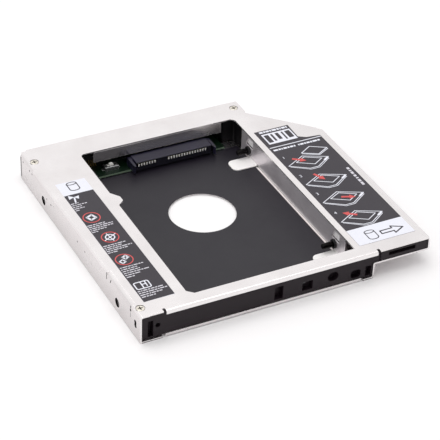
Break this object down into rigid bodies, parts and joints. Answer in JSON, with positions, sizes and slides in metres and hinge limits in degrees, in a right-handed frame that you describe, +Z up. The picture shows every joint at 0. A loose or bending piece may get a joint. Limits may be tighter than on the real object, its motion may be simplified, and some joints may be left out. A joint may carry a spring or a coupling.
{
  "type": "laptop drive caddy",
  "caption": "Slim folded-metal caddy that fits a laptop's optical bay and carries a 2.5 inch drive in an open bay with a connector at its rear.",
  "frame": {"origin": "centre of the bounding box in plan, on the plane that the tray's floor rests on", "axes": "+X towards the wing, +Y towards the connector end, +Z up out of the bay"},
  "size_m": [0.128, 0.1262, 0.0127],
  "materials": {
    "cover_metal": "satin zinc-plated sheet steel",
    "tray_metal": "satin zinc-plated sheet steel",
    "film": "matt black insulating film",
    "rail_plastic": "fine-grained black moulding",
    "light_lens": "clear lens, unlit",
    "bracket_metal": "polished stainless sheet",
    "pin_metal": "black oxide",
    "collar_plastic": "black nylon",
    "rivet_metal": "bright rivet steel",
    "left_bracket_metal": "zinc-plated sheet steel",
    "block_plastic": "black moulding",
    "board": "green solder mask",
    "screw_metal": "nickel-plated",
    "connector_plastic": "glass-filled black moulding",
    "contact_metal": "gold-plated",
    "switch_base_plastic": "black moulding",
    "switch_shell_metal": "tin-plated",
    "knob_plastic": "white moulding",
    "host_plastic": "black moulding",
    "chip_plastic": "moulded package",
    "capacitor_ceramic": "fired ceramic",
    "resistor_ceramic": "glazed ceramic",
    "cover_screw_metal": "nickel-plated",
    "left_label_print": "printed sticker",
    "right_label_print": "printed sticker"
  },
  "bodies": {
    "shell": {"top_cover": "cover_metal", "bottom_tray": "tray_metal", "insulating_sheet": "film", "front_rail": "rail_plastic", "indicator_light": "light_lens", "guide_rivets": "rivet_metal", "left_bracket": "left_bracket_metal", "rear_corner_block": "block_plastic", "circuit_board": "board", "board_screws": "screw_metal", "drive_connector": "connector_plastic", "signal_contacts": "contact_metal", "power_contacts": "contact_metal", "mode_switch_base": "switch_base_plastic", "mode_switch_shell": "switch_shell_metal", "host_connector": "host_plastic", "host_contacts": "contact_metal", "control_chip": "chip_plastic", "board_capacitors": "capacitor_ceramic", "board_resistors": "resistor_ceramic", "cover_screws": "cover_screw_metal", "left_label": "left_label_print", "right_label": "right_label_print"},
    "carriage": {"side_bracket": "bracket_metal", "drive_pins": "pin_metal", "pin_collars": "collar_plastic"},
    "switch_slider": {"mode_switch_knob": "knob_plastic"}
  },
  "joints": [
    {"name": "bracket_slide", "type": "slide", "parent": "shell", "child": "carriage", "axis": [0, -1, 0], "range_m": [0, 0.006]},
    {"name": "mode_switch_slide", "type": "slide", "parent": "shell", "child": "switch_slider", "axis": [1, 0, 0], "range_m": [-0.0011, 0.0011]}
  ]
}
